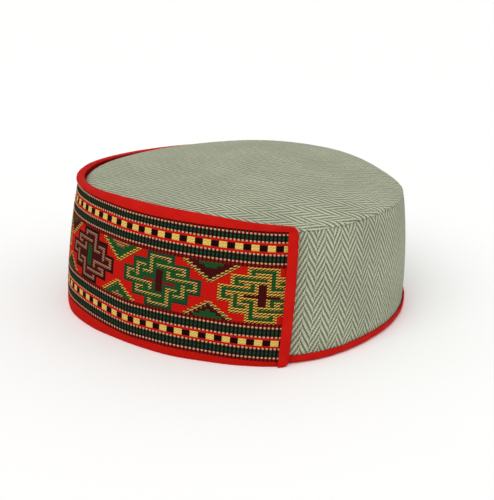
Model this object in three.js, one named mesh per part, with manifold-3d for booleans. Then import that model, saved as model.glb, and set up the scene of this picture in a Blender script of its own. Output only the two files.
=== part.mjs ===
// A hill cap: a round pillbox of tweed with a tall woven border turned up over its front half.
// Millimetres, +Z up, the front faces -Y, and the rim stands on z = 0.
import * as THREE from "three";
import { mergeVertices } from "three/addons/utils/BufferGeometryUtils.js";
import Module from "manifold-3d";

const wasm = await Module();
wasm.setup();

// The side band, measured to its outer face.
const RIM_RADIUS = 93; // mean, at the rim
const CROWN_RADIUS = 86; // mean, at the crown seam
const SEAM_HEIGHT = 67; // mean, floor to crown seam
const BAND_THICKNESS = 2.4;
const BAND_BULGE = 1.6; // how far the wall swells between the rim and the seam

// The crown panel above its seam.
const CROWN_THICKNESS = 2;
const SHOULDER_RISE = 3.4; // seam to the edge of the flat top
const SHOULDER_RUN = 6.5; // how far that edge lies inside the seam
const DOME_RISE = 0.8; // middle of the top above its edge

// The turned-up front.
const FLAP_HEIGHT = 70; // cloth only, without the tape over its edge
const FLAP_THICKNESS = 1.8;
const FLAP_TOP_ANGLE = 89.5; // degrees from the front to each end, along the top edge
const FLAP_FOOT_ANGLE = 85.3; // the same along the bottom edge
const FLAP_CORNER_RADIUS = 3;

// The red tapes.
const TAPE_THICKNESS = 1;
const FLAP_TAPE_WIDTH = 4.3; // seen on each face of the flap
const RIM_TAPE_WIDTH = 4.2; // seen on each face of the side band
const CLEARANCE = 0.3; // between any two pieces that touch on the real cap

const STATIONS = 72; // sections round the whole cap
const FLAP_STATIONS = 34; // sections along the flap
const WALL_ROWS = 7; // rows up a wall
const CORNER_STEPS = 4;
const TOP_ROWS = [0, 0.2, 0.4, 0.58, 0.75, 0.9]; // shares of the flat top's radius

// The cap's soft shape. Angles are degrees from the front towards the wearer's left.
// rim and crown are shares of the two radii, seam of SEAM_HEIGHT and flap of FLAP_HEIGHT.
const FORM = [
  { angle: -180, rim: 1.01, crown: 1.01, seam: 0.97, flap: 0.95 },
  { angle: -150, rim: 1.01, crown: 1.035, seam: 0.985, flap: 0.95 },
  { angle: -120, rim: 1.01, crown: 1.03, seam: 0.995, flap: 0.95 },
  { angle: -90, rim: 1.0, crown: 0.97, seam: 0.99, flap: 0.95 },
  { angle: -60, rim: 0.995, crown: 0.965, seam: 0.985, flap: 0.965 },
  { angle: -30, rim: 1.017, crown: 0.98, seam: 0.995, flap: 1.0 },
  { angle: 0, rim: 0.985, crown: 0.97, seam: 1.005, flap: 1.02 },
  { angle: 30, rim: 0.926, crown: 0.915, seam: 1.01, flap: 1.035 },
  { angle: 60, rim: 0.962, crown: 0.945, seam: 1.0, flap: 1.015 },
  { angle: 90, rim: 1.047, crown: 1.055, seam: 0.975, flap: 0.957 },
  { angle: 120, rim: 1.012, crown: 1.09, seam: 0.995, flap: 0.95 },
  { angle: 150, rim: 1.0, crown: 1.06, seam: 0.98, flap: 0.95 },
];

// Soft hollows in the flat top. radius and spread are shares of the crown's radius, depth of SHOULDER_RISE.
const HOLLOWS = [
  { angle: 155, radius: 0.85, depth: 0.5, spread: 0.32 },
  { angle: 10, radius: 0.6, depth: 0.35, spread: 0.4 },
];

const TWEED = new THREE.MeshStandardMaterial({ name: "tweed", color: 0xa3a68c, roughness: 0.95, metalness: 0 });
const BORDER = new THREE.MeshStandardMaterial({ name: "border", color: 0xc02515, roughness: 0.85, metalness: 0 });
const TAPE = new THREE.MeshStandardMaterial({ name: "tape", color: 0xc81a12, roughness: 0.8, metalness: 0 });

// One column of the form at any angle, on a smooth closed curve through its rows.
function share(column, angle) {
  const step = 360 / FORM.length;
  const place = (((angle - FORM[0].angle) % 360) + 360) % 360 / step;
  const row = Math.floor(place);
  const t = place - row;
  const [a, b, c, d] = [-1, 0, 1, 2].map((k) => FORM[(row + k + FORM.length) % FORM.length][column]);
  return b + 0.5 * t * (c - a + t * (2 * a - 5 * b + 4 * c - d + t * (3 * (b - c) + d - a)));
}

const seamHeight = (angle) => SEAM_HEIGHT * share("seam", angle);
const flapHeight = (angle) => FLAP_HEIGHT * share("flap", angle);
const crownRadius = (angle) => CROWN_RADIUS * share("crown", angle);

// Radius of the side band's outer face. Above the seam it goes on upwards for the flap.
function wallRadius(angle, height) {
  const rise = height / seamHeight(angle);
  const foot = RIM_RADIUS * share("rim", angle);
  return THREE.MathUtils.lerp(foot, crownRadius(angle), rise) + 4 * BAND_BULGE * rise * (1 - rise);
}

function polar(radius, angle, height) {
  const turn = THREE.MathUtils.degToRad(angle);
  return new THREE.Vector3(radius * Math.sin(turn), -radius * Math.cos(turn), height);
}

// A point at a height on the wall, a distance outside the side band's outer face.
const onWall = (angle, height, out) => polar(wallRadius(angle, height) + out, angle, height);

// A closed solid through sections with the same number of points. Each section runs along one side
// and back along the other, so an open row of sections is closed at its ends by joining the two sides.
function loft(sections, open = false) {
  const count = sections[0].length;
  const faces = [];
  const quad = (a, b, c, d) => faces.push([a, b, c], [a, c, d]);
  for (let i = 0; i < sections.length - (open ? 1 : 0); i += 1) {
    const here = i * count;
    const next = ((i + 1) % sections.length) * count;
    for (let j = 0; j < count; j += 1) {
      const k = (j + 1) % count;
      quad(here + j, next + j, next + k, here + k);
    }
  }
  if (open) {
    const end = (sections.length - 1) * count;
    for (let j = 0; j < count / 2 - 1; j += 1) {
      const [a, b, c, d] = [j, j + 1, count - 2 - j, count - 1 - j];
      quad(a, b, c, d);
      quad(end + d, end + c, end + b, end + a);
    }
  }
  const shape = new THREE.BufferGeometry().setFromPoints(sections.flat());
  shape.setIndex(faces.flat());
  return closedShape(shape);
}

// Merges what coincides, drops the faces that vanish with it and turns the shape to face outwards.
function closedShape(shape) {
  const merged = mergeVertices(shape, 1e-4);
  const index = merged.index.array;
  const faces = [];
  for (let i = 0; i < index.length; i += 3) {
    const [a, b, c] = index.slice(i, i + 3);
    if (a !== b && b !== c && c !== a) faces.push(a, b, c);
  }
  if (signedVolume(merged.attributes.position, faces) < 0) faces.reverse();
  merged.setIndex(faces);
  return merged;
}

function signedVolume(position, faces) {
  const [a, b, c] = [new THREE.Vector3(), new THREE.Vector3(), new THREE.Vector3()];
  let volume = 0;
  for (let i = 0; i < faces.length; i += 3) {
    [a, b, c].forEach((corner, k) => corner.fromBufferAttribute(position, faces[i + k]));
    volume += a.dot(b.cross(c)) / 6;
  }
  return volume;
}

function toSolid(shape) {
  const vertProperties = new Float32Array(shape.attributes.position.array);
  const triVerts = new Uint32Array(shape.index.array);
  return new wasm.Manifold(new wasm.Mesh({ numProp: 3, vertProperties, triVerts }));
}

function toShape(solid) {
  const mesh = solid.getMesh();
  const shape = new THREE.BufferGeometry();
  shape.setAttribute("position", new THREE.BufferAttribute(new Float32Array(mesh.vertProperties), 3));
  shape.setIndex(Array.from(mesh.triVerts));
  return shape;
}

// A ring round the cap whose section at each angle is a list of [height, distance outside the wall].
function ring(sectionAt) {
  const sections = [];
  for (let i = 0; i < STATIONS; i += 1) {
    const angle = (360 * i) / STATIONS;
    sections.push(sectionAt(angle).map(([height, out]) => onWall(angle, height, out)));
  }
  return loft(sections);
}

// The section of a plain wall: up its outer face and down its inner one.
function wallSection(foot, top, inner, outer) {
  const heights = Array.from({ length: WALL_ROWS }, (_, k) => THREE.MathUtils.lerp(foot, top, k / (WALL_ROWS - 1)));
  return [...heights.map((z) => [z, outer]), ...heights.reverse().map((z) => [z, inner])];
}

const bandFoot = TAPE_THICKNESS + CLEARANCE;
const bandTop = (angle) => seamHeight(angle) - CLEARANCE / 2;

function sideBand() {
  return ring((angle) => wallSection(bandFoot, bandTop(angle), -BAND_THICKNESS, 0));
}

// A tape folded round the lower edge of the side band, flat where it stands on the floor.
function rimTape() {
  const near = CLEARANCE;
  const far = CLEARANCE + TAPE_THICKNESS;
  const back = -BAND_THICKNESS;
  const turn = far / 2;
  return ring(() => [
    [RIM_TAPE_WIDTH, near],
    [RIM_TAPE_WIDTH, far],
    [turn, far],
    [0, far - turn],
    [0, back - far + turn],
    [turn, back - far],
    [RIM_TAPE_WIDTH, back - far],
    [RIM_TAPE_WIDTH, back - near],
    [TAPE_THICKNESS, back - near],
    [TAPE_THICKNESS, near],
  ]);
}

// How far the flat top sinks at a share of the radius.
function hollow(angle, radius) {
  const here = polar(radius, angle, 0);
  return HOLLOWS.reduce((sum, dent) => {
    const away = here.distanceTo(polar(dent.radius, dent.angle, 0)) / dent.spread;
    return sum + dent.depth * SHOULDER_RISE * Math.exp(-away * away);
  }, 0);
}

// The crown: a nearly flat top whose edge turns down to the seam.
function crownSection(angle) {
  const edge = crownRadius(angle);
  const foot = seamHeight(angle) + CLEARANCE / 2;
  const middle = SEAM_HEIGHT + SHOULDER_RISE + DOME_RISE;
  const layer = (inset) => {
    const run = SHOULDER_RUN - inset;
    const rise = SHOULDER_RISE - inset;
    const flatEdge = edge - SHOULDER_RUN;
    const rows = TOP_ROWS.map((part) => {
      const sag = (foot + SHOULDER_RISE - middle) * part * part;
      return polar(flatEdge * part, angle, middle + sag - inset - hollow(angle, (flatEdge * part) / edge));
    });
    for (let k = 0; k <= CORNER_STEPS; k += 1) {
      const turn = (Math.PI / 2) * (1 - k / CORNER_STEPS);
      const sink = hollow(angle, flatEdge / edge) * Math.sin(turn);
      rows.push(polar(flatEdge + run * Math.cos(turn), angle, foot + rise * Math.sin(turn) - sink));
    }
    return rows;
  };
  return [...layer(0), ...layer(CROWN_THICKNESS).reverse()];
}

function crownPanel() {
  const sections = Array.from({ length: STATIONS }, (_, i) => crownSection((360 * i) / STATIONS));
  return loft(sections);
}

const flapInner = 2 * CLEARANCE + TAPE_THICKNESS;
const flapOuter = flapInner + FLAP_THICKNESS;

// How far a rounded corner lowers the top edge, a distance in from the end.
function cornerDrop(distance, radius) {
  if (distance >= radius) return 0;
  const reach = radius - Math.max(distance, 0);
  return radius - Math.sqrt(radius * radius - reach * reach);
}

// A curved panel on the front of the cap, between two distances outside the wall.
// grow moves its top and ends outwards, and corner rounds its upper corners.
function frontPanel({ inner, outer, grow, foot, corner }) {
  const halfTurn = (height) => {
    const rise = height / FLAP_HEIGHT;
    const turn = THREE.MathUtils.lerp(FLAP_FOOT_ANGLE, FLAP_TOP_ANGLE, rise);
    return turn + THREE.MathUtils.radToDeg(grow / RIM_RADIUS);
  };
  const topTurn = halfTurn(FLAP_HEIGHT);
  const halfLength = THREE.MathUtils.degToRad(topTurn) * RIM_RADIUS;
  const cornerShares = Array.from({ length: CORNER_STEPS }, (_, k) => {
    const turn = ((Math.PI / 2) * k) / CORNER_STEPS;
    return 1 - (corner * (1 - Math.cos(turn))) / halfLength;
  });
  const flatShare = 1 - corner / halfLength;
  const shares = [];
  for (let k = 0; k <= FLAP_STATIONS; k += 1) {
    shares.push(flatShare * (1 - (2 * k) / FLAP_STATIONS));
  }
  const ends = corner > 0 ? cornerShares : [];
  const all = [...ends, ...shares, ...ends.map((s) => -s).reverse()];
  const sections = all.map((part) => {
    const fromEnd = (1 - Math.abs(part)) * halfLength;
    const top = flapHeight(part * topTurn) + grow - cornerDrop(fromEnd, corner);
    return wallSection(foot, top, inner, outer).map(([z, out]) => onWall(part * halfTurn(z), z, out));
  });
  return loft(sections, true);
}

function flapPanel() {
  return frontPanel({ inner: flapInner, outer: flapOuter, grow: 0, foot: 0, corner: FLAP_CORNER_RADIUS });
}

// A tape folded over the flap's top edge and both ends. Its inner half stops above the rim's tape.
function flapTape() {
  const around = CLEARANCE + TAPE_THICKNESS;
  const below = -1;
  const through = 2 * around;
  const block = frontPanel({
    inner: flapInner - around,
    outer: flapOuter + around,
    grow: around,
    foot: 0,
    corner: FLAP_CORNER_RADIUS + around,
  });
  const cloth = frontPanel({
    inner: flapInner - CLEARANCE,
    outer: flapOuter + CLEARANCE,
    grow: CLEARANCE,
    foot: below,
    corner: FLAP_CORNER_RADIUS + CLEARANCE,
  });
  const window = frontPanel({
    inner: flapInner - through,
    outer: flapOuter + through,
    grow: -FLAP_TAPE_WIDTH,
    foot: below,
    corner: 0,
  });
  const rimRoom = ring(() => [
    [below, -through],
    [below, flapInner],
    [RIM_TAPE_WIDTH + CLEARANCE, flapInner],
    [RIM_TAPE_WIDTH + CLEARANCE, -through],
  ]);
  const cut = [cloth, window, rimRoom].map(toSolid);
  return toShape(cut.reduce((solid, tool) => solid.subtract(tool), toSolid(block)));
}

function piece(name, shape, material) {
  const mesh = new THREE.Mesh(shape, material);
  mesh.name = name;
  return mesh;
}

// The cap stands with the middle of its plan on the origin.
function cap() {
  const group = new THREE.Group();
  group.add(
    piece("side_band", sideBand(), TWEED),
    piece("crown_top", crownPanel(), TWEED),
    piece("rim_binding", rimTape(), TAPE),
    piece("front_flap", flapPanel(), BORDER),
    piece("flap_binding", flapTape(), TAPE),
  );
  const middle = new THREE.Box3().setFromObject(group).getCenter(new THREE.Vector3());
  group.position.set(-middle.x, -middle.y, 0);
  return group;
}

export default cap();
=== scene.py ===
import math

import bmesh
import bpy
import numpy as np
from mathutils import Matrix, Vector
from mathutils.bvhtree import BVHTree


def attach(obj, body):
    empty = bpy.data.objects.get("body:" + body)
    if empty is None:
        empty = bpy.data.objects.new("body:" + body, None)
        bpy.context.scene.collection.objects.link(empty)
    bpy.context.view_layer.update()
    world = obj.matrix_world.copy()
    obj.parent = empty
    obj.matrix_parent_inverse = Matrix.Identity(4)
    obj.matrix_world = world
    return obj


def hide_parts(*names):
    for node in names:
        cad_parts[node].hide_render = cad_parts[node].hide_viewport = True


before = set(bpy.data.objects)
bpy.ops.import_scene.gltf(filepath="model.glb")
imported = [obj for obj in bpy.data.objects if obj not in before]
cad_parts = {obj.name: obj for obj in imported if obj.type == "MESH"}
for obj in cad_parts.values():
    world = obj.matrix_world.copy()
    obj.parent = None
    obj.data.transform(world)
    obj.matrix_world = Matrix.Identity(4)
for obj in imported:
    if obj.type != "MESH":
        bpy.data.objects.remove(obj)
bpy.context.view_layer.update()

# A hill cap of herringbone tweed with a woven border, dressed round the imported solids.
# Lengths are millimetres and angles degrees until a mesh is finished. The front faces -Y and
# angles run from the front towards the wearer's left.
MM = 0.001
MERGE = 0.002 * MM
FLAT = "flat_cloth"
YARNS = "yarn_colour"

# The upright line that the wall is drawn round.
AXIS = (-1.98, 0.06)

# Cloth and tape.
BAND_THICKNESS = 2.4
BORDER_THICKNESS = 1.8
TAPE_THICKNESS = 1.0
RIM_TAPE_HEIGHT = 4.3
END_TAPE_WIDTH = 5.7
SHOULDER_RUN = 6.5
CROWN_THICKNESS = 2.0

# The border's ends stand a little further round at the top than at the foot.
END_TURN_FOOT = 85.3
END_TURN_TOP = 89.5
BORDER_HEIGHT = 70.0
MIDDLE_HEIGHT = 35.0
TAPE_CORNER = 4.3
TAPE_FOOT_CORNER = 2.0
TAPE_OVERHANG = 1.3

# Width of one column of weave, which the weaver beat closer towards the middle of the border.
COLUMN_PITCH = {
    "angle": [0, 10, 18, 25, 32, 40, 48, 55, 60, 68, 76, 92],
    "pitch": [0.91, 0.90, 0.92, 0.97, 1.0, 1.03, 1.04, 1.065, 1.05, 1.01, 0.98, 0.98],
}
END_PITCH = COLUMN_PITCH["pitch"][-1]

# How far the woven rows of the border ride up or down along it, and over how many degrees that is softened.
ROW_DRIFT = {"angle": [0, 15, 34, 54, 70, 85, 92], "rise": [2.9, 2.1, 0.8, 0.0, -0.9, -2.0, -2.4]}
DRIFT_SOFTNESS = 8
# Where and how much the border sags besides: below one height in full, above another not at all.
SAG = {"angle": 31, "spread": 13, "drop": 1.3, "full_below": 20, "none_above": 45}


def linear(red, green, blue):
    """A colour as seen on a screen, 0 to 255, in the renderer's own scale."""
    shares = [value / 255 for value in (red, green, blue)]
    return tuple(s / 12.92 if s <= 0.04045 else ((s + 0.055) / 1.055) ** 2.4 for s in shares) + (1.0,)


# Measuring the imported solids

STEP = 5
STATIONS = np.arange(-180, 180, STEP)
# Shares of the wall's height, and of the flat top's radius, at which each station is felt.
WALL_RISES = np.linspace(0.05, 0.97, 6)
CROWN_PARTS = np.array([0.2, 0.4, 0.58, 0.75, 0.9, 0.99])


def smooth(table, place, closed):
    """Reads a table of even steps between its rows along a smooth curve. place counts rows."""
    table = np.asarray(table, float)
    place = np.asarray(place, float)
    if closed:
        start = np.floor(place).astype(int)
        picked = [table[(start + k) % len(table)] for k in (-1, 0, 1, 2)]
    else:
        longer = np.concatenate([2 * table[:1] - table[1:2], table, 2 * table[-1:] - table[-2:-1]])
        start = np.clip(np.floor(place), 0, len(table) - 2).astype(int)
        picked = [longer[start + k] for k in (0, 1, 2, 3)]
    a, b, c, d = picked
    t = (place - start).reshape(place.shape + (1,) * (table.ndim - 1))
    return b + 0.5 * t * (c - a + t * (2 * a - 5 * b + 4 * c - d + t * (3 * (b - c) + d - a)))


def feeler(node):
    """A search tree of a CAD node, from a merged copy of its mesh."""
    copy = bmesh.new()
    copy.from_mesh(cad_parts[node].data)
    bmesh.ops.remove_doubles(copy, verts=copy.verts, dist=MERGE)
    found = BVHTree.FromBMesh(copy)
    copy.free()
    return found


# Straight lines start this far off, and a hair's breadth aside, so that none runs along an edge.
FAR_OFF = 200
ASIDE = Vector((0.013, 0.017, 0.011))


def feel(tree, start, way):
    """The first spot that a straight line meets."""
    spot = tree.ray_cast((Vector(start) + ASIDE) * MM, Vector(way).normalized())[0]
    return spot / MM - ASIDE


def reach(tree, angle, height):
    """How far from the axis the outer face lies."""
    turn = math.radians(angle)
    out = Vector((math.sin(turn), -math.cos(turn), 0))
    middle = Vector((*AXIS, height))
    return (feel(tree, middle + out * FAR_OFF, -out) - middle).dot(out)


def drop(tree, angle, radius):
    """How high the top face lies."""
    turn = math.radians(angle)
    start = (AXIS[0] + radius * math.sin(turn), AXIS[1] - radius * math.cos(turn), FAR_OFF)
    return feel(tree, start, (0, 0, -1)).z


band_tree = feeler("side_band")
crown_tree = feeler("crown_top")
rim_tree = feeler("rim_binding")
border_tree = feeler("front_flap")
edging_tree = feeler("flap_binding")


def measured_wall():
    """Seam height, and the curve of the outer face from rim to seam, at every station."""
    corners = np.array([v.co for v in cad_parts["side_band"].data.vertices]) / MM - (*AXIS, 0)
    around = np.degrees(np.arctan2(corners[:, 0], -corners[:, 1]))
    rows = []
    for angle in STATIONS:
        near = np.abs((around - angle + 180) % 360 - 180) < 0.5
        seam = corners[near, 2].max()
        bow = np.polyfit(WALL_RISES, [reach(band_tree, angle, seam * rise) for rise in WALL_RISES], 2)
        rows.append([seam, *bow])
    return np.array(rows)


wall_table = measured_wall()


def seam_height(angle):
    return smooth(wall_table[:, 0], (np.asarray(angle) + 180) / STEP, True)


def wall_radius(angle, height):
    """Radius of the wall's outer face. Above the seam it goes on upwards."""
    row = smooth(wall_table, (np.asarray(angle) + 180) / STEP, True)
    rise = height / row[..., 0]
    return (row[..., 1] * rise + row[..., 2]) * rise + row[..., 3]


def above_wall(tree, angle, height):
    return reach(tree, angle, height) - wall_radius(angle, height)


RIM_TAPE_FACE = float(above_wall(rim_tree, 180, 2.5))
BORDER_FACE = float(above_wall(border_tree, 0, MIDDLE_HEIGHT))
EDGING_FACE = float(above_wall(edging_tree, 0, BORDER_HEIGHT))

# How far outside the wall the crest of the tape over the border's edge is felt for.
CREST = 2.5
EDGE_STATIONS = np.arange(-85, 86, STEP)
edge_radii = wall_radius(EDGE_STATIONS, BORDER_HEIGHT) + CREST
edge_heights = [drop(edging_tree, angle, radius) for angle, radius in zip(EDGE_STATIONS, edge_radii)]


def edging_top(angle):
    """Height of the tape over the border's upper edge."""
    return smooth(edge_heights, (np.asarray(angle) - EDGE_STATIONS[0]) / STEP, False)


def row_drift(angle):
    """ROW_DRIFT as a soft curve, the same on both sides."""
    fine = np.arange(0, ROW_DRIFT["angle"][-1] + 1, 1.0)
    drift = np.interp(fine, ROW_DRIFT["angle"], ROW_DRIFT["rise"])
    window = 2 * DRIFT_SOFTNESS + 1
    soft = np.convolve(np.pad(drift, DRIFT_SOFTNESS, mode="reflect"), np.ones(window) / window, mode="valid")
    return np.interp(np.abs(angle), fine, soft)


def half_turn(height):
    return END_TURN_FOOT + (END_TURN_TOP - END_TURN_FOOT) * height / BORDER_HEIGHT


def measured_length():
    """Columns of weave up to each angle, as shares of them all, and their number, at middle height."""
    angles = np.linspace(-100, 100, 2001)
    radius = wall_radius(angles, MIDDLE_HEIGHT) + BORDER_FACE
    x = radius * np.sin(np.radians(angles))
    y = radius * np.cos(np.radians(angles))
    pitch = np.interp(np.abs(angles[1:]), COLUMN_PITCH["angle"], COLUMN_PITCH["pitch"])
    run = np.concatenate([[0], np.cumsum(np.hypot(np.diff(x), np.diff(y)) / pitch)])
    end = half_turn(MIDDLE_HEIGHT)
    first, last = np.interp([-end, end], angles, run)
    return angles, (run - first) / (last - first), 2 * round((last - first) / 2)


run_angles, run_shares, COLUMNS = measured_length()
SHARE_PER_MM = 1 / (END_PITCH * COLUMNS)


def border_angle(share, height):
    """The angle of a share of the border's length, 0 to 1 from its right end to its left one."""
    middle = np.interp(share, run_shares, run_angles)
    return middle * half_turn(height) / half_turn(MIDDLE_HEIGHT)


def polar(radius, angle, height):
    turn = np.radians(angle)
    height = np.broadcast_to(height, np.shape(radius))
    return np.stack([AXIS[0] + radius * np.sin(turn), AXIS[1] - radius * np.cos(turn), height], axis=-1)


def ripple(angle, height, waves):
    """Slow unevenness of sewn cloth, about -1 to 1. waves holds turns round the cap, a height and a phase."""
    total = 0.0
    for turns, tall, phase in waves:
        total = total + np.sin(np.radians(angle) * turns + phase + height / tall)
    return total / len(waves)


# Sewing the pieces

def cloth(columns, rows, place, lay):
    """A grid of cloth. From column and row numbers place gives points, and lay spots on the flat cloth."""
    sheet = bmesh.new()
    flat = sheet.loops.layers.uv.new(FLAT)
    bmesh.ops.create_grid(sheet, x_segments=columns, y_segments=rows, size=0.5)
    sheet.verts.index_update()
    shares = np.array([v.co[:2] for v in sheet.verts]) + 0.5
    across = np.rint(shares[:, 0] * columns).astype(int)
    along = np.rint(shares[:, 1] * rows).astype(int)
    spots = lay(across, along).tolist()
    points = (place(across, along) * MM).tolist()
    for face in sheet.faces:
        for corner in face.loops:
            corner[flat].uv = spots[corner.vert.index]
    for vert, point in zip(sheet.verts, points):
        vert.co = point
    bmesh.ops.remove_doubles(sheet, verts=sheet.verts, dist=MERGE)
    return sheet


def piece(name, sheet, finish, node):
    """Closes a sheet's open ends, turns it outwards and puts it in the scene for a CAD node."""
    bmesh.ops.holes_fill(sheet, edges=[e for e in sheet.edges if e.is_boundary], sides=0)
    bmesh.ops.recalc_face_normals(sheet, faces=sheet.faces)
    for face in sheet.faces:
        face.smooth = True
    mesh = bpy.data.meshes.new(name)
    sheet.to_mesh(mesh)
    sheet.free()
    mesh.materials.append(finish)
    made = bpy.data.objects.new(name, mesh)
    bpy.context.scene.collection.objects.link(made)
    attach(made, "root")
    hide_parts(node)
    return made


# Wiring the finishes

CLOTH_SHINE = 0.08


class Finish:
    """A material being wired. Most methods add a node and give back its output."""

    def __init__(self, name, roughness):
        self.material = bpy.data.materials.new(name)
        self.material.use_nodes = True
        self.tree = self.material.node_tree
        self.shader = self.tree.nodes["Principled BSDF"]
        self.shader.inputs["Roughness"].default_value = roughness
        self.shader.inputs["Specular IOR Level"].default_value = CLOTH_SHINE

    def node(self, kind, **settings):
        made = self.tree.nodes.new(kind)
        for key, value in settings.items():
            setattr(made, key, value)
        return made

    def feed(self, socket, value):
        if isinstance(value, bpy.types.NodeSocket):
            self.tree.links.new(value, socket)
        else:
            socket.default_value = value

    def math(self, operation, *values):
        made = self.node("ShaderNodeMath", operation=operation)
        for socket, value in zip(made.inputs, values):
            self.feed(socket, value)
        return made.outputs[0]

    def ramp(self, value, low, high, start=0.0, end=1.0):
        made = self.node("ShaderNodeMapRange", interpolation_type="SMOOTHSTEP")
        for socket, given in zip(made.inputs, (value, low, high, start, end)):
            self.feed(socket, given)
        return made.outputs[0]

    def mix(self, share, first, second, blend="MIX"):
        made = self.node("ShaderNodeMix", data_type="RGBA", blend_type=blend)
        for index, value in zip((0, 6, 7), (share, first, second)):
            self.feed(made.inputs[index], value)
        return made.outputs[2]

    def flat(self):
        """Across and along the flat cloth."""
        parts = self.node("ShaderNodeSeparateXYZ")
        self.feed(parts.inputs[0], self.node("ShaderNodeUVMap", uv_map=FLAT).outputs[0])
        return parts.outputs[0], parts.outputs[1]

    def spot(self, x, y, z=0.0):
        made = self.node("ShaderNodeCombineXYZ")
        for socket, value in zip(made.inputs, (x, y, z)):
            self.feed(socket, value)
        return made.outputs[0]

    def arch(self, value):
        """A half wave over each whole step of a value: the rounded top of one yarn after another."""
        return self.math("SINE", self.math("MULTIPLY", self.math("FRACT", value), math.pi))

    def off_middle(self, value):
        """How far a value lies from the middle of its whole step, 0 to 0.5."""
        return self.math("ABSOLUTE", self.math("SUBTRACT", self.math("FRACT", value), 0.5))

    def toned(self, colour, tone):
        return self.mix(1.0, colour, self.spot(tone, tone, tone), "MULTIPLY")

    def noise(self, spot, scale, detail=2.0):
        made = self.node("ShaderNodeTexNoise")
        self.feed(made.inputs["Vector"], spot)
        self.feed(made.inputs["Scale"], scale)
        self.feed(made.inputs["Detail"], detail)
        return made.outputs[0]

    def done(self, colour, height, depth, strength=1.0):
        """Colour and relief onto the shader. depth is how tall the relief is, in millimetres."""
        bump = self.node("ShaderNodeBump")
        bump.inputs["Strength"].default_value = strength
        bump.inputs["Distance"].default_value = depth * MM
        self.feed(bump.inputs["Height"], height)
        self.feed(self.shader.inputs["Base Color"], colour)
        self.feed(self.shader.inputs["Normal"], bump.outputs[0])
        return self.material


# Herringbone: a two-and-two twill of four picks that turns back every eight warp yarns, two picks late.
WARP_PITCH = 0.6
WEFT_PITCH = 1.04
PICKS = 4.0
WARPS_TO_TURN = 8
PICKS_LATE = 2.0


def tweed_finish():
    wool = Finish("herringbone_tweed", 0.95)
    wool.shader.inputs["Sheen Weight"].default_value = 0.12
    wool.shader.inputs["Sheen Roughness"].default_value = 0.5
    wool.shader.inputs["Sheen Tint"].default_value = (0.9, 0.9, 0.8, 1.0)
    across, along = wool.flat()
    cloth_spot = wool.spot(across, along)
    wobble = wool.math("MULTIPLY_ADD", wool.noise(cloth_spot, 0.12, 1.0), 1.2, -0.6)
    warp = wool.math("DIVIDE", across, WARP_PITCH)
    weft = wool.math("DIVIDE", wool.math("ADD", along, wobble), WEFT_PITCH)
    number = wool.math("FLOOR", warp)
    turn = wool.math("PINGPONG", wool.math("ADD", number, 0.5), WARPS_TO_TURN)
    stripe = wool.math("MODULO", wool.math("FLOOR", wool.math("DIVIDE", number, WARPS_TO_TURN)), 2.0)
    turn = wool.math("MULTIPLY_ADD", wool.math("ABSOLUTE", stripe), PICKS_LATE, turn)
    lifted = wool.math("FRACT", wool.math("DIVIDE", wool.math("ADD", weft, turn), PICKS))
    wave = wool.math("SINE", wool.math("MULTIPLY", lifted, 2 * math.pi))
    rough = wool.math("MULTIPLY_ADD", wool.noise(cloth_spot, 1.5, 2.0), 1.5, -0.75)
    light = wool.ramp(wool.math("ADD", wave, rough), -0.5, 0.5)

    slubs = wool.spot(wool.math("MULTIPLY", number, 3.7), wool.math("MULTIPLY", along, 0.5))
    fibre = wool.noise(cloth_spot, 3.2, 3.0)
    cloud = wool.noise(cloth_spot, 0.045, 2.0)
    pale = wool.mix(wool.noise(slubs, 1.0, 3.0), linear(170, 175, 150), linear(226, 229, 203))
    deep = wool.mix(fibre, linear(80, 87, 66), linear(136, 142, 115))
    colour = wool.mix(light, deep, pale)
    colour = wool.mix(wool.ramp(fibre, 0.3, 0.75), wool.mix(0.86, linear(96, 98, 76), colour), colour)
    colour = wool.toned(colour, wool.ramp(cloud, 0.3, 0.7, 0.93, 1.05))

    sunk = wool.math("MULTIPLY", wool.arch(weft), wool.math("SUBTRACT", 1.0, light))
    height = wool.math("MULTIPLY_ADD", wool.arch(warp), light, sunk)
    height = wool.math("MULTIPLY_ADD", fibre, 0.7, height)
    return wool.done(colour, height, 0.28, 0.8)


TAPE_WEAVE = 0.42


def tape_finish():
    cotton = Finish("red_cotton_tape", 0.8)
    across, along = cotton.flat()
    waves = 2 * math.pi / TAPE_WEAVE
    warp = cotton.math("SINE", cotton.math("MULTIPLY", across, waves))
    weft = cotton.math("SINE", cotton.math("MULTIPLY", along, waves))
    weave = cotton.math("MULTIPLY", warp, weft)
    thread = cotton.spot(cotton.math("MULTIPLY", across, 0.25), cotton.math("MULTIPLY", along, 3.0))
    slub = cotton.noise(thread, 1.0)
    cloud = cotton.noise(cotton.spot(across, along), 0.12)
    colour = cotton.mix(slub, linear(188, 12, 6), linear(212, 22, 10))
    # Painted shade: the red is darkened where the weave dips between the threads.
    colour = cotton.mix(cotton.ramp(weave, -0.4, 1.0), cotton.mix(0.8, linear(120, 8, 8), colour), colour)
    colour = cotton.mix(cotton.ramp(cloud, 0.35, 0.7, 0.0, 0.35), colour, linear(214, 30, 16))
    height = cotton.math("MULTIPLY_ADD", slub, 0.8, weave)
    return cotton.done(colour, height, 0.08, 0.7)


# How much the border's floats slant over two columns, in rows, and the colour between them: the dark ground
# yarn, with painted shade between the floats.
FLOAT_SLANT = -0.55
GAP_GROUND_AND_SHADE_COLOUR = (46, 14, 8)


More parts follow.
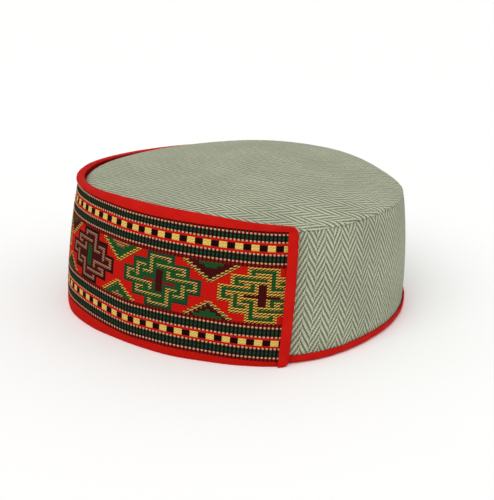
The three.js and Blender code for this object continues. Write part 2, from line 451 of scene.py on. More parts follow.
def border_finish():
    """Slanting floats, painted shade in the gaps between them and along the cells' edges, and fibres over the
    yarn colours, which lie on the mesh.
    """
    wool = Finish("woven_border", 0.95)
    column, row = wool.flat()
    yarns = wool.node("ShaderNodeAttribute", attribute_name=YARNS).outputs
    pair = wool.math("FRACT", wool.math("MULTIPLY", column, 0.5))
    slant = wool.math("MULTIPLY_ADD", pair, FLOAT_SLANT, row)
    # Painted shade: the gaps between the floats, where the ground shows, and the edges of the cells are
    # darkened towards the gap colour.
    gap_ground_and_shade = wool.ramp(wool.off_middle(slant), 0.15, 0.33)
    cell_edge_shade = wool.ramp(wool.off_middle(column), 0.34, 0.5, 0.0, 0.45)
    gap_and_edge_shade = wool.math("MAXIMUM", gap_ground_and_shade, cell_edge_shade)
    fibre = wool.noise(wool.spot(column, wool.math("MULTIPLY", slant, 6.0)), 1.6, 3.0)
    colour = wool.mix(wool.math("MULTIPLY", gap_and_edge_shade, yarns["Alpha"]), yarns["Color"], linear(*GAP_GROUND_AND_SHADE_COLOUR))
    colour = wool.toned(colour, wool.ramp(fibre, 0.25, 0.75, 0.72, 1.14))
    height = wool.math("MULTIPLY_ADD", fibre, 0.5, wool.math("SUBTRACT", 1.0, gap_and_edge_shade))
    return wool.done(colour, height, 0.22, 0.8)


# The wall

WALL_COLUMNS = 360
WALL_ROWS_OUT = 34
WALL_ROWS_IN = 10
EDGE_TURNS = 6
# The wall's cloth begins inside the fold of the rim's tape.
WALL_FOOT = 1.2
WALL_SWAY = 0.35
WALL_WAVES = [(7, 23, 0.4), (11, -31, 2.0), (17, 40, 1.1)]
# The upright seam at the back: its depth, and half its width in degrees.
BACK_SEAM_DEPTH = 0.5
BACK_SEAM_WIDTH = 0.7
# Under the crown seam the wall turns in a little and lies in small gathers.
SEAM_ROLL = 0.45
SEAM_ROLL_HEIGHT = 3.0
PUCKERS = [(61, 9, 0.0), (83, 9, 1.0), (37, 9, 2.2)]
PUCKER_DEPTH = 0.2
PUCKER_HEIGHT = 6
# The herringbone leans by this share of the angle to PANEL_MIDDLE, from FAN_START on and in full FAN_RUN
# later. PANEL_START sets where on the cloth the stripes lie.
PANEL_FAN = 0.157
PANEL_MIDDLE = 132
PANEL_START = 5.6
FAN_START = 40
FAN_RUN = 40


def wall_section():
    """Shares up the wall, rise over its end and distance outside its face, once round the thickness."""
    half = BAND_THICKNESS / 2
    turns = np.radians(np.linspace(0, 180, EDGE_TURNS + 2)[1:-1])
    share = [np.linspace(0, 1, WALL_ROWS_OUT), np.ones(EDGE_TURNS), np.linspace(1, 0, WALL_ROWS_IN), [0]]
    rise = [np.zeros(WALL_ROWS_OUT), half * np.sin(turns), np.zeros(WALL_ROWS_IN), [0]]
    out = [np.zeros(WALL_ROWS_OUT), half * (np.cos(turns) - 1), np.full(WALL_ROWS_IN, -BAND_THICKNESS), [0]]
    return np.concatenate(share), np.concatenate(rise), np.concatenate(out)


def wall_cloth(finish):
    share, rise, out = wall_section()
    arc = np.linspace(-180, 180, 1441)
    radius = wall_radius(arc, MIDDLE_HEIGHT)
    length = np.concatenate([[0], np.cumsum(radius[1:] * np.radians(np.diff(arc)))])
    length -= np.interp(0, arc, length)

    def spread(across, along):
        angle = -180 + 360 * across / WALL_COLUMNS
        top = seam_height(angle) - BAND_THICKNESS / 2
        height = WALL_FOOT + share[along] * (top - WALL_FOOT) + rise[along]
        return angle, height, top

    def place(across, along):
        angle, height, top = spread(across, along)
        roll = np.clip((height - top + SEAM_ROLL_HEIGHT) / SEAM_ROLL_HEIGHT, 0, 1.3) ** 2 * SEAM_ROLL
        sway = WALL_SWAY * ripple(angle, height, WALL_WAVES) * np.sin(np.pi * np.clip(height / top, 0, 1))
        back = np.abs((angle + 360) % 360 - 180)
        crease = -BACK_SEAM_DEPTH * np.exp(-((back / BACK_SEAM_WIDTH) ** 2))
        gathered = np.clip((height - top + PUCKER_HEIGHT) / PUCKER_HEIGHT, 0, 1)
        pucker = PUCKER_DEPTH * gathered * ripple(angle, 0.0, PUCKERS)
        return polar(wall_radius(angle, height) + out[along] - roll + sway + crease + pucker, angle, height)

    def lay(across, along):
        angle, height, _ = spread(across, along)
        fanned = np.clip((np.abs(angle) - FAN_START) / FAN_RUN, 0, 1)
        lean = PANEL_FAN * (PANEL_MIDDLE - np.abs(angle)) * fanned
        shift = np.sign(angle) * np.tan(np.radians(lean)) * (height - MIDDLE_HEIGHT)
        return np.stack([np.interp(angle, arc, length) - shift - PANEL_START, height], axis=-1)

    sheet = cloth(WALL_COLUMNS, len(share) - 1, place, lay)
    return piece("wall_cloth", sheet, finish, "side_band")


# The crown

CROWN_COLUMNS = 360
CROWN_ROWS = 34
SHOULDER_ROWS = 12
CROWN_PUFF = -0.2  # how far the crown stands outside the wall's face at the seam
CROWN_LAP = 0.6  # how far the crown's edge laps down over the wall's
CROWN_ROLL = 0.35  # the radius that its edge is turned in by
CROWN_GRAIN = 153  # the way the crown's herringbone stripes run
CROWN_STRETCH = 1.2  # the crown's weave lies wider than the wall's
CROWN_SWAY = 0.4
CROWN_WAVES = [(3, 17, 0.3), (5, -21, 1.9), (8, 29, 4.0)]
# The middle of the crown lies higher than on the stiff solid. On one side, about SLOPE_SIDE, the top slopes
# down to the seam over SLOPE_RUN.
CROWN_LIFT = 1.2
SLOPE_SIDE = 85
SLOPE_DROP = 1.9
SLOPE_RUN = 38
# It slopes in full where the cosine from that side is over (1 - SLOPE_LEAST) / SLOPE_GAIN.
SLOPE_GAIN = 1.2
SLOPE_LEAST = 0.2


def measured_crown():
    """Height in the middle, and how each section departs from it out to the edge of the flat top."""
    middle = drop(crown_tree, 0, 0.0)
    powers = np.stack([CROWN_PARTS ** 2, CROWN_PARTS ** 3, CROWN_PARTS ** 4], axis=-1)
    rows = []
    for angle in STATIONS:
        edge = float(wall_radius(angle, seam_height(angle))) - SHOULDER_RUN
        heights = np.array([drop(crown_tree, angle, edge * part) for part in CROWN_PARTS])
        rows.append(np.linalg.lstsq(powers, heights - middle, rcond=None)[0])
    return middle, np.array(rows)


def crown_cloth(finish):
    middle, bow_table = measured_crown()
    shoulder = np.radians(np.linspace(90, 0, SHOULDER_ROWS + 1)[1:])
    roll = np.radians([30, 60, 90])
    flat = np.linspace(0, 1, CROWN_ROWS)

    def section(angle, thin):
        """Radius and height from the middle out over the shoulder. The outer face turns in at the seam."""
        flat_edge = wall_radius(angle, seam_height(angle)) - SHOULDER_RUN
        run = SHOULDER_RUN + CROWN_PUFF
        bow = smooth(bow_table, (angle + 180) / STEP, True)
        side = np.clip(np.cos(np.radians(angle - SLOPE_SIDE)) * SLOPE_GAIN + SLOPE_LEAST, 0, 1)
        radii = [flat_edge * s for s in flat]
        heights = []
        for s, r in zip(flat, radii):
            near_edge = (1 - np.clip((flat_edge - r) / SLOPE_RUN, 0, 1)) ** 2
            solid = middle + s ** 2 * (bow[..., 0] + s * (bow[..., 1] + s * bow[..., 2]))
            heights.append(solid + CROWN_LIFT * (1 - near_edge) - SLOPE_DROP * side * near_edge)
        brim = heights[-1]
        foot = seam_height(angle) + CROWN_ROLL - CROWN_LAP
        radii += [flat_edge + (run - thin) * math.cos(t) for t in shoulder]
        heights += [foot + (brim - foot) * math.sin(t) for t in shoulder]
        if thin:
            return radii, [h - thin for h in heights[:-1]] + [foot - thin / 2]
        radii += [flat_edge + run - CROWN_ROLL * (1 - math.cos(t)) for t in roll]
        heights += [foot - CROWN_ROLL * math.sin(t) for t in roll]
        return radii, heights

    angles = -180 + 360 * np.arange(CROWN_COLUMNS + 1) / CROWN_COLUMNS
    outer = section(angles, 0)
    inner = section(angles, CROWN_THICKNESS)
    radius = np.array(outer[0] + inner[0][::-1])
    height = np.array(outer[1] + inner[1][::-1])
    steps = np.hypot(np.diff(radius.mean(axis=1)), np.diff(height.mean(axis=1)))
    length = np.concatenate([[0], np.cumsum(steps)])
    outer_count = len(outer[0])
    length[outer_count:] = length[-1] - length[outer_count:]
    swell = np.sin(np.pi * flat) ** 1.5
    between = np.zeros(len(radius) - 2 * CROWN_ROWS)
    swell = np.concatenate([swell, between, np.sin(np.pi * flat[::-1]) ** 1.5])

    def place(across, along):
        angle = -180 + 360 * across / CROWN_COLUMNS
        out = radius[along, across]
        lift = CROWN_SWAY * swell[along] * ripple(angle, out, CROWN_WAVES)
        gathered = np.clip((along - CROWN_ROWS) / SHOULDER_ROWS, 0, 1) * (along < outer_count)
        pucker = PUCKER_DEPTH * gathered * ripple(angle, 0.0, PUCKERS)
        return polar(out + pucker, angle, height[along, across] + lift)

    def lay(across, along):
        angle = np.radians(-180 + 360 * across / CROWN_COLUMNS - CROWN_GRAIN)
        out = length[along] / CROWN_STRETCH
        return np.stack([out * np.sin(angle), out * np.cos(angle)], axis=-1)

    sheet = cloth(CROWN_COLUMNS, len(radius) - 1, place, lay)
    return piece("crown_cloth", sheet, finish, "crown_top")


# The tapes

FOLD_TURNS = 10
TAPE_LIP = 0.32  # how much of a tape's thickness its front edge is rounded by
TAPE_SWELL = 0.12


def folded_tape(front, back, fold_front, fold_back, fold_drop, thickness):
    """A tape folded over an edge, cut across. Once round it: distance from the crest, distance outside.
    front and back are how far its halves reach from the crest, fold_front and fold_back their outer faces."""
    centre = (fold_front + fold_back) / 2
    half = (fold_front - fold_back) / 2
    bend = np.radians(np.linspace(90, -90, FOLD_TURNS))
    lip = thickness * TAPE_LIP
    corner = np.radians([0, 45, 90])
    outer = [(front - lip * (1 - math.cos(t)), fold_front - lip * (1 - math.sin(t))) for t in corner]
    outer += [(fold_drop + (front - fold_drop) * s, fold_front) for s in np.linspace(0.85, 0.15, 6)]
    outer += [(fold_drop * (1 - math.cos(t)), centre + half * math.sin(t)) for t in bend]
    outer += [(back, fold_back)]
    tight = fold_drop - thickness
    deep = half - thickness
    inner = [(back, fold_back + thickness)]
    inner += [(thickness + tight * (1 - math.cos(t)), centre + deep * math.sin(t)) for t in -bend[::3]]
    inner += [(front, fold_front - thickness)]
    section = np.array(outer + inner)
    return np.concatenate([section, section[:1]])


def section_run(section):
    return np.concatenate([[0], np.cumsum(np.hypot(*np.diff(section, axis=0).T))])


RIM_COLUMNS = 480
RIM_FOLD_DROP = 1.9
# The tape's upper edge rides up and down, from UNEVEN_FROM on and in full UNEVEN_RUN higher.
RIM_UNEVEN = 0.22
UNEVEN_FROM = 2.2
UNEVEN_RUN = 2
RIM_EDGE_WAVES = [(13, 9, 0.5), (29, 9, 2.5), (47, 9, 0.9)]
RIM_WAVES = [(23, 3, 0.2), (41, 4, 1.2), (71, 5, 3.1)]


def rim_tape(finish):
    inside = -BAND_THICKNESS - RIM_TAPE_FACE
    tall = RIM_TAPE_HEIGHT
    section = folded_tape(tall, tall, RIM_TAPE_FACE, inside, RIM_FOLD_DROP, TAPE_THICKNESS)
    run = section_run(section)
    mean_radius = float(np.mean(wall_radius(STATIONS, 0)))

    def place(across, along):
        angle = -180 + 360 * across / RIM_COLUMNS
        upper = np.clip((section[along, 0] - UNEVEN_FROM) / UNEVEN_RUN, 0, 1)
        height = section[along, 0] + RIM_UNEVEN * upper * ripple(angle, 0.0, RIM_EDGE_WAVES)
        swell = TAPE_SWELL * ripple(angle, height, RIM_WAVES)
        return polar(wall_radius(angle, height) + section[along, 1] + swell, angle, height)

    def lay(across, along):
        return np.stack([2 * math.pi * mean_radius * across / RIM_COLUMNS, run[along]], axis=-1)

    sheet = cloth(RIM_COLUMNS, len(section) - 1, place, lay)
    return piece("rim_tape", sheet, finish, "rim_binding")


# The border's tape: where its end begins above the floor, its inner edge, and the steps along it.
TAPE_FOOT = 0.3
TAPE_EDGE = 68.5
FOOT_RISES = np.array([0, 0.08, 0.25, 0.5, 0.75, 1.0])
SIDE_START = 2.8
SIDE_STEPS = 38
CORNER_STEPS = 9
TOP_STEPS = 150
END_REACH = 12  # how far below its corner the other end's inner edge still follows the upper one
INNER_STEP = 0.2  # how far that edge keeps below the crest
TAPE_BACK = 0.3  # how far outside the wall the tape's inner half lies
# The drop of its fold and its thickness, as shares of its width.
EDGING_FOLD_DROP = 0.42
EDGING_THICKNESS = 0.2
EDGING_WAVES = [(23, 5, 0.9), (43, 7, 2.2), (67, 9, 0.1)]


def edging_path():
    """The tape from foot to foot: share of the border's length and height, of crest and inner edge."""
    corner = TAPE_CORNER * SHARE_PER_MM
    first = -TAPE_OVERHANG * SHARE_PER_MM
    inner_end = first + END_TAPE_WIDTH * SHARE_PER_MM

    def top(share):
        return float(edging_top(border_angle(share, BORDER_HEIGHT)))

    def lower(share):
        return float(TAPE_EDGE + row_drift(border_angle(share, BORDER_HEIGHT)))

    shoulder = top(first + corner) - TAPE_CORNER
    other_shoulder = top(1 - first - corner) - TAPE_CORNER
    inner_top = lower(inner_end)
    near = []
    rounded = TAPE_FOOT + TAPE_FOOT_CORNER * FOOT_RISES
    for z in np.concatenate([rounded, np.linspace(SIDE_START, shoulder, SIDE_STEPS)]):
        below = max(1 - (z - TAPE_FOOT) / TAPE_FOOT_CORNER, 0)
        inset = TAPE_FOOT_CORNER * (1 - math.sqrt(1 - below ** 2)) * SHARE_PER_MM
        near.append((first + inset, z, inner_end, min(z, inner_top)))
    for turn in np.radians(np.linspace(0, 90, CORNER_STEPS + 2)[1:-1]):
        share = first + corner * (1 - math.cos(turn))
        near.append((share, shoulder + TAPE_CORNER * math.sin(turn), inner_end, inner_top))
    for share in np.linspace(first + corner, 0.5, TOP_STEPS + 1):
        near.append((share, top(share), max(share, inner_end), lower(max(share, inner_end))))

    far = []
    for share, z, inner_share, inner_z in near[:-1]:
        share = 1 - share
        inner_share = 1 - inner_share
        along_top = share <= 1 - first - corner
        if along_top:
            crest = top(share)
        elif z >= shoulder:
            crest = z + other_shoulder - shoulder
        else:
            crest = z * other_shoulder / shoulder
        low = min(inner_z, crest)
        if along_top or inner_z > shoulder - END_REACH:
            low = lower(inner_share)
            if not along_top and z < shoulder:
                low = min(low, crest - INNER_STEP)
        far.append((share, crest, inner_share, low))
    return np.array(near + far[::-1])


def edging_tape(finish):
    path = edging_path()
    # Across the section, distances from the crest are shares of the tape's width.
    section = folded_tape(1.0, 1.0, EDGING_FACE, TAPE_BACK, EDGING_FOLD_DROP, EDGING_THICKNESS)
    run = section_run(section * (END_TAPE_WIDTH, 1.0))
    lengths = np.hypot(np.diff(path[:, 0]) / SHARE_PER_MM, np.diff(path[:, 1]))
    travelled = np.concatenate([[0], np.cumsum(lengths)])

    def place(across, along):
        crest_share, crest, inner_share, inner = path[across].T
        depth = section[along, 0]
        share = crest_share + (inner_share - crest_share) * depth
        height = crest + (inner - crest) * depth
        angle = border_angle(share, height)
        swell = TAPE_SWELL * ripple(angle, height, EDGING_WAVES)
        return polar(wall_radius(angle, height) + section[along, 1] + swell, angle, height)

    def lay(across, along):
        return np.stack([travelled[across], run[along]], axis=-1)

    sheet = cloth(len(path) - 1, len(section) - 1, place, lay)
    return piece("edging_tape", sheet, finish, "flap_binding")


# The woven border

YARN_COLOURS = {
    "red": (204, 20, 8),
    "dull_red": (140, 18, 10),
    "maroon": (66, 8, 10),
    "rose": (142, 14, 34),
    "green": (8, 87, 40),
    "pine": (8, 72, 48),
    "black": (6, 4, 5),
    "gold": (236, 200, 104),
    "yellow": (228, 177, 76),
    "straw": (208, 174, 88),
    "tan": (196, 134, 78),
    "brown": (178, 124, 94),
    "cream": (255, 204, 160),
}
# How strongly the gaps' dark ground and painted shade darken the yarns: most where floats stand out as single
# dashes.
GAP_SHADE_STRENGTH = {
    "yellow": 1.0,
    "straw": 1.0,
    "tan": 0.9,
    "brown": 0.8,
    "pine": 0.7,
    "green": 0.55,
    "cream": 0.45,
    "gold": 0.3,
    "red": 0.26,
}
PLAIN_GAP_SHADE_STRENGTH = 0.4
NAMES = list(YARN_COLOURS)

# The border's rows of weave from its tape down: what they show, how many and how tall each is.
STRIPES = [
    {"weave": "hidden", "rows": 1, "height": 3.0},
    # The edge row under the tape: maroon and dull red, partly painted shade cast by the tape's edge.
    {"weave": "edge", "rows": 1, "height": 1.1},
    {"weave": "dots", "rows": 1, "height": 0.75},
    {"weave": "ribs", "rows": 2, "height": 1.45},
    {"weave": "dots", "rows": 1, "height": 0.7},
    {"weave": "red", "rows": 1, "height": 1.15},
    {"weave": "squares_above", "rows": 2, "height": 1.45},
    {"weave": "red", "rows": 1, "height": 1.15},
    {"weave": "dots", "rows": 1, "height": 0.7},
    {"weave": "ribs", "rows": 2, "height": 1.7},
    {"weave": "dots", "rows": 1, "height": 0.7},
    {"weave": "speckle", "rows": 2, "height": 0.875},
    {"weave": "field", "rows": 20, "height": 1.36},
    {"weave": "speckle", "rows": 2, "height": 0.8},
    {"weave": "dots", "rows": 1, "height": 0.75},
    {"weave": "ribs", "rows": 2, "height": 1.95},
    {"weave": "dots", "rows": 1, "height": 0.75},
    {"weave": "red", "rows": 1, "height": 1.15},
    {"weave": "squares_below", "rows": 2, "height": 1.475},
    {"weave": "red", "rows": 1, "height": 1.05},
    {"weave": "dots", "rows": 1, "height": 0.75},
    {"weave": "ribs", "rows": 2, "height": 2.0},
    {"weave": "dots", "rows": 1, "height": 0.75},
    {"weave": "speckle", "rows": 2, "height": 0.75},
    {"weave": "selvage", "rows": 3, "height": 0.8},
]
STRIPES_LAP = 2.6  # how far the first row reaches up under the tape
STRIPES_TOP = TAPE_EDGE + STRIPES_LAP
SELVAGE_ROWS = STRIPES[-1]["rows"]
FIELD_ROWS = next(stripe["rows"] for stripe in STRIPES if stripe["weave"] == "field")

# The hooked figure: one half of its lines, in columns and rows from its middle. A half turn gives the rest.
HOOKS = [
    {"left": -5.5, "right": 4.5, "top": -8.5, "foot": -8.5},
    {"left": -5.5, "right": -4.5, "top": -8.5, "foot": -2.5},
    {"left": -9.5, "right": -5.5, "top": -2.5, "foot": -2.5},
    {"left": 4.5, "right": 5.5, "top": -8.5, "foot": -7.5},
    {"left": -1.5, "right": 13.5, "top": -5.5, "foot": -5.5},
    {"left": 12.5, "right": 13.5, "top": -5.5, "foot": -3.5},
    {"left": 9.5, "right": 13.5, "top": -3.5, "foot": -3.5},
    {"left": 4.5, "right": 5.5, "top": -3.5, "foot": -1.5},
    {"left": 4.5, "right": 19.5, "top": -1.5, "foot": -1.5},
    {"left": 18.5, "right": 19.5, "top": -1.5, "foot": 1.5},
    {"left": 15.5, "right": 19.5, "top": 1.5, "foot": 1.5},
    {"left": 12.5, "right": 13.5, "top": 0.5, "foot": 4.5},
    {"left": 8.5, "right": 13.5, "top": 4.5, "foot": 4.5},
]
# The figure's stepped outline: half its width as far as so many rows from its middle.
STEPS = [{"rows": 3, "half": 22}, {"rows": 7, "half": 16}, {"rows": 10, "half": 8}]
# Half the width of its arms, which are one row tall, and of its cross, and half the height of the cross.
ARM_HALF = 9
CROSS_HALF = 2
CROSS_ROWS = 4

# The figures and the points between them, in turn from the border's left end, and where the first of each has
# its middle, in columns from that end. FIGURE_PITCH is the columns from one figure to the next.
FIGURES = [
    {"ground": "yellow", "edge": "yellow", "line": "green", "cross": "maroon", "arm": "maroon", "flip": True},
    {"ground": "green", "edge": "pine", "line": "straw", "cross": "maroon", "arm": "rose", "flip": False},
    {"ground": "maroon", "edge": "black", "line": "brown", "cross": "green", "arm": "maroon", "flip": True},
]
POINTS = [
    {"layers": ["straw", "maroon", "green"], "cores": (8, 5)},
    {"layers": ["yellow", "green", "tan"], "cores": (8, 8)},
]
FIRST_FIGURE = 15
FIGURE_PITCH = 52
FIRST_POINT = 41
# Half a point's width at the field's upper and lower edge, what it loses a row, and how wide its outline is.
POINT_HALVES = (14, 12)
POINT_STEP = 2
POINT_OUTLINE = 3
# The squares: columns from one to the next, and where the first of each row begins from the left end.
SQUARE_PITCH = 8
FIRST_ABOVE = 2
FIRST_BELOW = 5


def figure(chart, middle, ground, edge, line, cross, arm, flip):
    """One hooked figure on the field's chart. Its middle lies between two columns."""
    rows = np.arange(FIELD_ROWS)[:, None] - (FIELD_ROWS - 1) / 2
    columns = np.arange(COLUMNS)[None, :] - middle + 0.5
    inside = np.zeros(chart.shape, bool)
    for step in STEPS:
        inside |= (np.abs(rows) < step["rows"]) & (np.abs(columns) < step["half"])
    wide = np.pad(inside, 1)
    inner = wide[:-2, 1:-1] & wide[2:, 1:-1] & wide[1:-1, :-2] & wide[1:-1, 2:]
    chart[inside] = NAMES.index(edge)
    chart[inner] = NAMES.index(ground)
    way = -1 if flip else 1
    for half in (1, -1):
        for hook in HOOKS:
            here_x = columns * way * half
            here_y = rows * half
            beside = (here_x >= hook["left"]) & (here_x <= hook["right"])
            level = (here_y >= hook["top"]) & (here_y <= hook["foot"])
            chart[beside & level] = NAMES.index(line)
    chart[(np.abs(columns) < ARM_HALF) & (rows == 0.5)] = NAMES.index(arm)
    chart[(np.abs(columns) < CROSS_HALF) & (np.abs(rows) < CROSS_ROWS)] = NAMES.index(cross)


def point(chart, middle, layers, cores):
    """The stepped points that grow from the field's two edges between the figures. cores is how far in their
    innermost layer begins. That layer is flatter: it loses one column more a row."""
    columns = np.abs(np.arange(COLUMNS) - middle + 0.5)
    for edge_row, base, core in zip((0, FIELD_ROWS - 1), POINT_HALVES, cores):
        for depth in range(base // POINT_STEP):
            row = abs(edge_row - depth)
            half = base - POINT_STEP * depth
            chart[row, columns < half] = NAMES.index(layers[0])
            chart[row, columns < half - POINT_OUTLINE] = NAMES.index(layers[1])
            chart[row, columns < half - core - depth] = NAMES.index(layers[2])


def field_chart():
    field = np.full((FIELD_ROWS, COLUMNS), NAMES.index("red"))
    for number in range(COLUMNS // FIGURE_PITCH + 1):
        point(field, COLUMNS - FIRST_POINT - number * FIGURE_PITCH, **POINTS[number % len(POINTS)])
    for number in range(COLUMNS // FIGURE_PITCH + 2):
        figure(field, COLUMNS - FIRST_FIGURE - number * FIGURE_PITCH, **FIGURES[number % len(FIGURES)])
    return field


# Columns counted from the border's left end.
FROM_END = COLUMNS - 1 - np.arange(COLUMNS)
EVEN_COLUMNS = FROM_END % 2 == 0


def stripe_colours(weave):
    """Yarn numbers along one row of a stripe."""
    pairs = {
        "dots": (EVEN_COLUMNS, "cream", "dull_red"),
        "ribs": (EVEN_COLUMNS, "pine", "black"),
        "speckle": (EVEN_COLUMNS, "dull_red", "maroon"),
        "squares_above": ((FROM_END - FIRST_ABOVE) % SQUARE_PITCH < SQUARE_PITCH / 2, "gold", "black"),
        "squares_below": ((FROM_END - FIRST_BELOW) % SQUARE_PITCH < SQUARE_PITCH / 2, "gold", "black"),
        # The edge row's dark maroon and dull red stand partly for painted shade under the tape's edge.
        "edge": (EVEN_COLUMNS, "maroon", "dull_red"),
    }
    chosen, yarn, other = pairs.get(weave, (EVEN_COLUMNS, "red", "red"))
    return np.where(chosen, NAMES.index(yarn), NAMES.index(other))


# How far the middle of a cell stands above its corners.
DOT_RELIEF = 0.34
BESIDE_DOT_RELIEF = 0.02
CELL_RELIEF = 0.16
CELL_EDGE_RELIEF = 0.06


def border_chart():
    """Yarn number and relief of every cell, from the tape down, and the heights of the rows' edges."""
    field = field_chart()
    rows = []
    relief = []
    edges = [STRIPES_TOP]
    for stripe in STRIPES:
        for row in range(stripe["rows"]):
            rows.append(field[row] if stripe["weave"] == "field" else stripe_colours(stripe["weave"]))
            dotted = np.where(EVEN_COLUMNS, DOT_RELIEF, BESIDE_DOT_RELIEF)
            relief.append(dotted if stripe["weave"] == "dots" else np.full(COLUMNS, CELL_RELIEF))
            edges.append(edges[-1] - stripe["height"])
    return np.array(rows), np.array(relief), np.array(edges)


BACK_ROWS = 6
FOLD_ROWS = 4
BORDER_FOOT = 0.4
FOOT_ROUNDING = 0.3
BORDER_SINK = 0.1  # how far the corners of the cells lie inside the solid's face
UNDER_TAPE = 0.3  # how far the border's upper edge stays inside the fold of its tape
BORDER_SWAY = 0.25
BORDER_WAVES = [(9, 25, 0.6), (14, -33, 2.4), (21, 41, 1.7)]


def woven_border(finish):
    chart, relief, edges = border_chart()
    row_count = len(chart)
    face_rows = 2 * row_count
    last_row = face_rows + FOLD_ROWS + BACK_ROWS + 1
    selvage_top = edges[-1 - SELVAGE_ROWS]

    def face_height(angle, row):
        """Height of a row's edge. The selvage takes up what the rows drift."""
        nominal = np.interp(row, np.arange(row_count + 1), edges)
        sag = SAG["drop"] * np.exp(-(((np.abs(angle) - SAG["angle"]) / SAG["spread"]) ** 2))
        part = (SAG["none_above"] - nominal) / (SAG["none_above"] - SAG["full_below"])
        drift = row_drift(angle) - sag * np.clip(part, 0, 1)
        whole = row_drift(angle) - sag
        share = (nominal - edges[-1]) / (selvage_top - edges[-1])
        low = BORDER_FOOT + (selvage_top + whole - BORDER_FOOT) * share
        return np.where(nominal >= selvage_top, nominal + drift, low)

    def face_relief(across, along):
        """Every cell of the chart is two steps wide and two tall, and its middle stands proud."""
        cell_x = np.clip(across // 2, 0, COLUMNS - 1)
        cell_y = np.clip(along // 2, 0, row_count - 1)
        middle_x = across % 2 == 1
        middle_y = along % 2 == 1
        on_face = (along > 0) & (along < face_rows)
        proud = np.where(on_face & middle_x & middle_y, relief[cell_y, cell_x], 0)
        return proud + np.where(on_face & (middle_x ^ middle_y), CELL_EDGE_RELIEF, 0)

    def place(across, along):
        """Down the face, round the foot, up the back and over to the face's first row."""
        share = across / (2 * COLUMNS)
        guess = border_angle(share, MIDDLE_HEIGHT)
        tall = edging_top(guess) - TAPE_OVERHANG - UNDER_TAPE
        height = np.minimum(face_height(guess, np.clip(along, 0, face_rows) / 2), tall)
        out = BORDER_FACE - BORDER_SINK + face_relief(across, along)
        turn = np.clip((along - face_rows) / (FOLD_ROWS + 1), 0, 1) * np.pi
        half = BORDER_THICKNESS / 2
        under = along > face_rows
        out = np.where(under, BORDER_FACE - half + half * np.cos(turn), out)
        height = np.where(under, BORDER_FOOT - FOOT_ROUNDING * np.sin(turn), height)
        climb = np.clip((along - face_rows - FOLD_ROWS) / BACK_ROWS, 0, 1)
        height = np.where(climb > 0, BORDER_FOOT + (tall - BORDER_FOOT) * climb, height)
        closing = along == last_row
        height = np.where(closing, np.minimum(face_height(guess, np.zeros_like(share)), tall), height)
        out = np.where(closing, BORDER_FACE - BORDER_SINK, out)
        angle = border_angle(share, height)
        sway = BORDER_SWAY * ripple(angle, height, BORDER_WAVES)
        return polar(wall_radius(angle, height) + out + sway, angle, height)

    def lay(across, along):
        return np.stack([across / 2, row_count - np.clip(along, 0, face_rows) / 2], axis=-1)

    sheet = cloth(2 * COLUMNS, last_row, place, lay)
    made = piece("woven_border", sheet, finish, "front_flap")
    colour_cells(made.data, chart)
    return made


def colour_cells(mesh, chart):
    """Gives each face the yarn colour of its cell. The fourth value is how strongly the painted shade in the
    gaps darkens it.
    """
    spots = np.empty(len(mesh.loops) * 2)
    mesh.uv_layers[FLAT].data.foreach_get("uv", spots)
    totals = np.empty(len(mesh.polygons), int)
    mesh.polygons.foreach_get("loop_total", totals)
    owner = np.repeat(np.arange(len(totals)), totals)
    spots = spots.reshape(-1, 2)
    middles = np.stack([np.bincount(owner, spots[:, k]) / totals for k in (0, 1)], axis=-1)
    column = np.clip(middles[:, 0].astype(int), 0, COLUMNS - 1)
    row = np.clip((len(chart) - middles[:, 1]).astype(int), 0, len(chart) - 1)
    palette = np.array([linear(*colour) for colour in YARN_COLOURS.values()])
    palette[:, 3] = [GAP_SHADE_STRENGTH.get(name, PLAIN_GAP_SHADE_STRENGTH) for name in NAMES]
    colours = palette[chart[row, column]][owner]
    layer = mesh.color_attributes.new(YARNS, "FLOAT_COLOR", "CORNER")
    layer.data.foreach_set("color", colours.ravel())


# The studio

# The camera: where it looks, and from how far and which side.
LOOK_HEIGHT = 36.0
VIEW_SIDE = 72.0
VIEW_RISE = 18.4
VIEW_DISTANCE = 556.0
AIM_RIGHT = 5.2
AIM_DOWN = 9.9
LENS_PIXELS = 986.0
PICTURE_HEIGHT = 500.0
SENSOR = 36.0
FLOOR_SIZE = 60.0
SKY_STRENGTH = 0.72


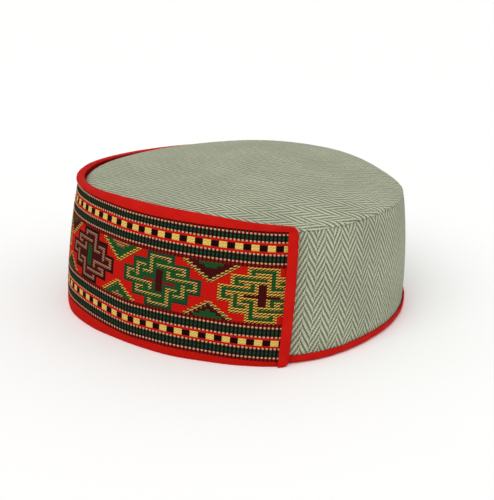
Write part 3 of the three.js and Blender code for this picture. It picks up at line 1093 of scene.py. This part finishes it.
def add_camera():
    side = math.radians(VIEW_SIDE)
    rise = math.radians(VIEW_RISE)
    back = Vector((math.sin(side) * math.cos(rise), -math.cos(side) * math.cos(rise), math.sin(rise)))
    right = Vector((math.cos(side), math.sin(side), 0))
    up = back.cross(right)
    middle = Vector((*AXIS, LOOK_HEIGHT))
    place = middle + back * VIEW_DISTANCE
    aim = middle + right * AIM_RIGHT - up * AIM_DOWN
    data = bpy.data.cameras.new("camera")
    data.sensor_width = SENSOR
    data.lens = LENS_PIXELS * SENSOR / PICTURE_HEIGHT
    data.clip_start = 0.01
    camera = bpy.data.objects.new("camera", data)
    camera.location = place * MM
    camera.rotation_euler = (aim - place).to_track_quat("-Z", "Y").to_euler()
    bpy.context.scene.collection.objects.link(camera)
    bpy.context.scene.camera = camera


def add_sun(name, side, rise, strength, softness, colour):
    """Even light from far off. side is its angle round the cap and rise its height, both in degrees."""
    data = bpy.data.lights.new(name, "SUN")
    data.energy = strength
    data.angle = math.radians(softness)
    data.color = colour
    light = bpy.data.objects.new(name, data)
    turn = math.radians(side)
    tall = math.radians(rise)
    way = Vector((math.sin(turn) * math.cos(tall), -math.cos(turn) * math.cos(tall), math.sin(tall)))
    light.location = way
    light.rotation_euler = way.to_track_quat("Z", "Y").to_euler()
    bpy.context.scene.collection.objects.link(light)


def add_studio():
    floor_shape = bmesh.new()
    bmesh.ops.create_grid(floor_shape, x_segments=1, y_segments=1, size=FLOOR_SIZE)
    mesh = bpy.data.meshes.new("floor")
    floor_shape.to_mesh(mesh)
    floor_shape.free()
    paper = bpy.data.materials.new("pale_paper")
    paper.use_nodes = True
    shader = paper.node_tree.nodes["Principled BSDF"]
    shader.inputs["Base Color"].default_value = linear(252, 252, 251)
    shader.inputs["Roughness"].default_value = 0.9
    mesh.materials.append(paper)
    floor = bpy.data.objects.new("floor", mesh)
    bpy.context.scene.collection.objects.link(floor)

    world = bpy.data.worlds.new("studio")
    world.use_nodes = True
    sky = world.node_tree.nodes["Background"]
    sky.inputs["Color"].default_value = (1.0, 1.0, 1.0, 1.0)
    sky.inputs["Strength"].default_value = SKY_STRENGTH
    bpy.context.scene.world = world
    bpy.context.scene.view_settings.view_transform = "Standard"
    add_sun("key", 40, 50, 1.05, 50, (1.0, 0.995, 0.985))
    add_sun("fill", 130, 50, 0.3, 60, (0.98, 0.99, 1.0))


add_camera()
tweed = tweed_finish()
tape = tape_finish()
border = border_finish()
wall_cloth(tweed)
crown_cloth(tweed)
rim_tape(tape)
woven_border(border)
edging_tape(tape)
add_studio()
